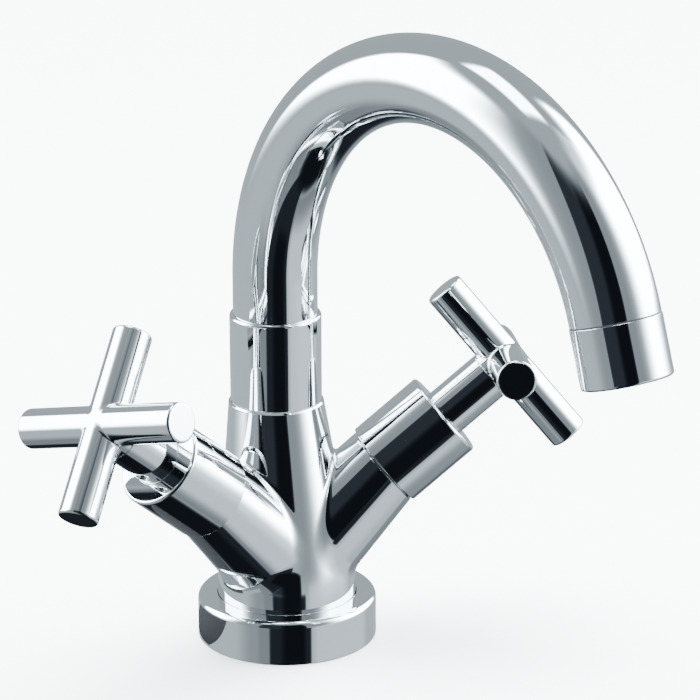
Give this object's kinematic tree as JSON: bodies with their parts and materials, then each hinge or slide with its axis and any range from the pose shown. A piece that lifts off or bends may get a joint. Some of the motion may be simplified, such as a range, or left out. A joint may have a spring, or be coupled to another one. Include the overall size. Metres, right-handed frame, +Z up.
{
  "type": "basin mixer tap",
  "caption": "Chrome one-hole basin mixer tap with cross handles on two raked valve arms and a swan-neck spout that swings.",
  "frame": {"origin": "middle of the underside, at the mouth of the fixing stud's tapped hole, in the plane of the basin", "axes": "+Z up, -Y to the front of the tap, -X to the left (hot) handle and +X to the right (cold) handle"},
  "size_m": [0.1579, 0.1634, 0.1832],
  "materials": {
    "chrome": "polished chrome plate",
    "brass": "turned",
    "steel": "stainless",
    "rubber": "moulded",
    "white_plastic": "moulded",
    "ceramic": "lapped ceramic"
  },
  "bodies": {
    "tap_body": {"body": "chrome", "base_flange": "chrome", "base_gasket": "rubber", "flange_oring": "rubber", "spout_slip_ring": "white_plastic", "spout_lock_screw": "steel", "left_cartridge": "brass", "left_cartridge_washer": "rubber", "left_seat_seal": "rubber", "left_fixed_disc": "ceramic", "left_shroud": "chrome", "right_cartridge": "brass", "right_cartridge_washer": "rubber", "right_seat_seal": "rubber", "right_fixed_disc": "ceramic", "right_shroud": "chrome"},
    "spout": {"spout_spigot": "brass", "spout_orings": "rubber", "spout_collar": "chrome", "spout_tube": "chrome", "spout_end_ring": "brass", "aerator_housing": "chrome", "aerator_gasket": "rubber", "aerator_screen": "steel", "aerator_core": "white_plastic"},
    "left_handle": {"left_moving_disc": "ceramic", "left_spindle": "brass", "left_spindle_orings": "rubber", "left_spindle_clip": "steel", "left_spline_bush": "white_plastic", "left_handle_stem": "chrome", "left_handle_screw": "steel", "left_handle_cross": "chrome"},
    "right_handle": {"right_moving_disc": "ceramic", "right_spindle": "brass", "right_spindle_orings": "rubber", "right_spindle_clip": "steel", "right_spline_bush": "white_plastic", "right_handle_stem": "chrome", "right_handle_screw": "steel", "right_handle_cross": "chrome"}
  },
  "joints": [
    {"name": "spout_swing", "type": "hinge", "parent": "tap_body", "child": "spout", "pos_m": [0, 0.006, 0.06], "axis": [0, 0, 1], "range_deg": [-75, 45]},
    {"name": "left_handle_turn", "type": "hinge", "parent": "tap_body", "child": "left_handle", "pos_m": [0, 0, 0.0254], "axis": [-0.7468, -0.2071, 0.632], "range_deg": [0, 90]},
    {"name": "right_handle_turn", "type": "hinge", "parent": "tap_body", "child": "right_handle", "pos_m": [0, 0, 0.0254], "axis": [0.7468, -0.2071, 0.632], "range_deg": [-90, 0]}
  ]
}
